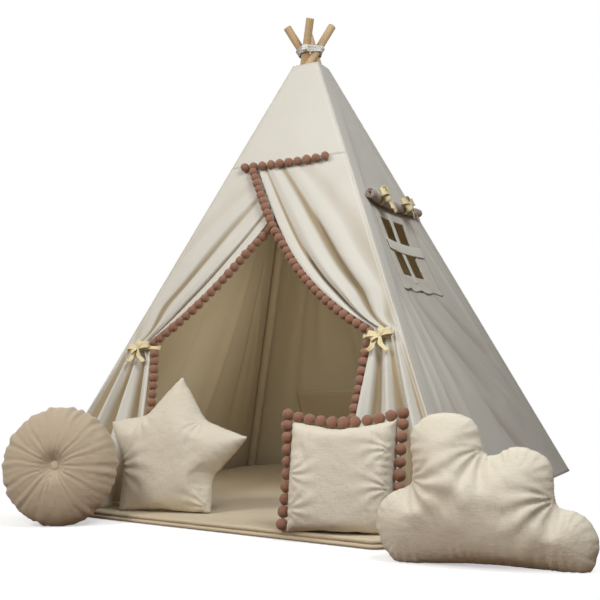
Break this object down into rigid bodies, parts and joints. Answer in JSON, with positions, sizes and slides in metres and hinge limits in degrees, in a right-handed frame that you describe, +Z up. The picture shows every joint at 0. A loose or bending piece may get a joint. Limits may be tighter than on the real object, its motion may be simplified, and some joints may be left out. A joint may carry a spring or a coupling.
{
  "type": "kids teepee",
  "caption": "Kids' canvas teepee on leaning wooden poles with tied-back pompom curtains, a window with a rolled blind, a floor mat and loose cushions.",
  "frame": {"origin": "on the floor under the crossing of the poles, midway between the four pole feet", "axes": "+Z up, the door faces -Y, the window is in the wall on the +X side"},
  "size_m": [1.5719, 1.6141, 1.4595],
  "materials": {
    "pine": "satin, unpainted",
    "canvas": "matte plain-weave cotton canvas",
    "lining": "matte cotton",
    "lashing": "matte twisted cotton strip",
    "ribbon": "soft cotton ribbon",
    "pompom": "fuzzy felt",
    "blind": "matte cotton",
    "mat": "matte padded cotton",
    "cushion": "soft short-napped cotton",
    "round": "soft pleated velour",
    "button": "covered button"
  },
  "bodies": {
    "mat": {"mat": "mat"},
    "crown": {"lashing_band": "lashing", "lashing_knot": "lashing"},
    "leg_front_left": {"pole_front_left": "pine", "sleeve_front_left": "canvas"},
    "leg_front_right": {"pole_front_right": "pine", "sleeve_front_right": "canvas"},
    "leg_rear_right": {"pole_rear_right": "pine", "sleeve_rear_right": "canvas"},
    "leg_rear_left": {"pole_rear_left": "pine", "sleeve_rear_left": "canvas"},
    "front_cover": {"front_top_panel": "canvas", "left_curtain": "canvas", "right_curtain": "canvas", "left_curtain_pompoms": "pompom", "right_curtain_pompoms": "pompom", "left_curtain_tie": "ribbon", "right_curtain_tie": "ribbon", "left_curtain_bow": "ribbon", "right_curtain_bow": "ribbon", "door_top_pompoms": "pompom"},
    "right_cover": {"right_wall": "canvas", "window_surround": "canvas", "window_mullion": "lining", "window_crossbar": "lining", "window_blind": "blind", "window_blind_tie_front": "ribbon", "window_blind_tie_rear": "ribbon", "window_blind_bow_front": "ribbon", "window_blind_bow_rear": "ribbon"},
    "back_cover": {"back_wall": "canvas", "inner_pocket": "lining"},
    "left_cover": {"left_wall": "canvas"},
    "round_cushion": {"round_cushion": "round", "round_cushion_front_button": "button", "round_cushion_back_button": "button"},
    "star_cushion": {"star_cushion": "cushion"},
    "square_pillow": {"square_pillow": "cushion", "square_pillow_pompoms": "pompom"},
    "cloud_cushion": {"cloud_cushion": "cushion"}
  },
  "joints": [
    {"name": "crown_lift", "type": "slide", "parent": "mat", "child": "crown", "axis": [0, 0, 1], "range_m": [0, 0.6], "deforming": ["lashing_band"]},
    {"name": "leg_swing_front_left", "type": "hinge", "parent": "crown", "child": "leg_front_left", "pos_m": [0, 0, 1.345], "axis": [0.7071, -0.7071, 0], "range_deg": [0, 24.1]},
    {"name": "leg_swing_front_right", "type": "hinge", "parent": "crown", "child": "leg_front_right", "pos_m": [0, 0, 1.345], "axis": [0.7071, 0.7071, 0], "range_deg": [0, 24.1]},
    {"name": "leg_swing_rear_right", "type": "hinge", "parent": "crown", "child": "leg_rear_right", "pos_m": [0, 0, 1.345], "axis": [-0.7071, 0.7071, 0], "range_deg": [0, 24.1]},
    {"name": "leg_swing_rear_left", "type": "hinge", "parent": "crown", "child": "leg_rear_left", "pos_m": [0, 0, 1.345], "axis": [-0.7071, -0.7071, 0], "range_deg": [0, 24.1]},
    {"name": "front_cover_fold", "type": "hinge", "parent": "crown", "child": "front_cover", "pos_m": [0, 0, 1.345], "axis": [1, 0, 0], "range_deg": [0, 17.8], "deforming": ["front_top_panel", "left_curtain", "right_curtain", "left_curtain_pompoms", "right_curtain_pompoms", "left_curtain_tie", "right_curtain_tie", "left_curtain_bow", "right_curtain_bow", "door_top_pompoms"]},
    {"name": "right_cover_fold", "type": "hinge", "parent": "crown", "child": "right_cover", "pos_m": [0, 0, 1.345], "axis": [0, 1, 0], "range_deg": [0, 17.8], "deforming": ["right_wall", "window_surround", "window_mullion", "window_crossbar", "window_blind", "window_blind_tie_front", "window_blind_tie_rear", "window_blind_bow_front", "window_blind_bow_rear"]},
    {"name": "back_cover_fold", "type": "hinge", "parent": "crown", "child": "back_cover", "pos_m": [0, 0, 1.345], "axis": [-1, 0, 0], "range_deg": [0, 17.8], "deforming": ["back_wall", "inner_pocket"]},
    {"name": "left_cover_fold", "type": "hinge", "parent": "crown", "child": "left_cover", "pos_m": [0, 0, 1.345], "axis": [0, -1, 0], "range_deg": [0, 17.8], "deforming": ["left_wall"]},
    {"name": "round_cushion_lift", "type": "slide", "parent": "mat", "child": "round_cushion", "axis": [0, 0, 1], "range_m": [0, 0.3]},
    {"name": "star_cushion_lift", "type": "slide", "parent": "mat", "child": "star_cushion", "axis": [0, 0, 1], "range_m": [0, 0.3]},
    {"name": "square_pillow_lift", "type": "slide", "parent": "mat", "child": "square_pillow", "axis": [0, 0, 1], "range_m": [0, 0.3]},
    {"name": "cloud_cushion_lift", "type": "slide", "parent": "mat", "child": "cloud_cushion", "axis": [0, 0, 1], "range_m": [0, 0.3]}
  ],
  "couplings": [
    {"joint": "leg_swing_front_left", "follows": "crown_lift", "rad_per_m": 0.69813},
    {"joint": "leg_swing_front_right", "follows": "crown_lift", "rad_per_m": 0.69813},
    {"joint": "leg_swing_rear_right", "follows": "crown_lift", "rad_per_m": 0.69813},
    {"joint": "leg_swing_rear_left", "follows": "crown_lift", "rad_per_m": 0.69813},
    {"joint": "front_cover_fold", "follows": "crown_lift", "rad_per_m": 0.5151},
    {"joint": "right_cover_fold", "follows": "crown_lift", "rad_per_m": 0.5151},
    {"joint": "back_cover_fold", "follows": "crown_lift", "rad_per_m": 0.5151},
    {"joint": "left_cover_fold", "follows": "crown_lift", "rad_per_m": 0.5151}
  ]
}
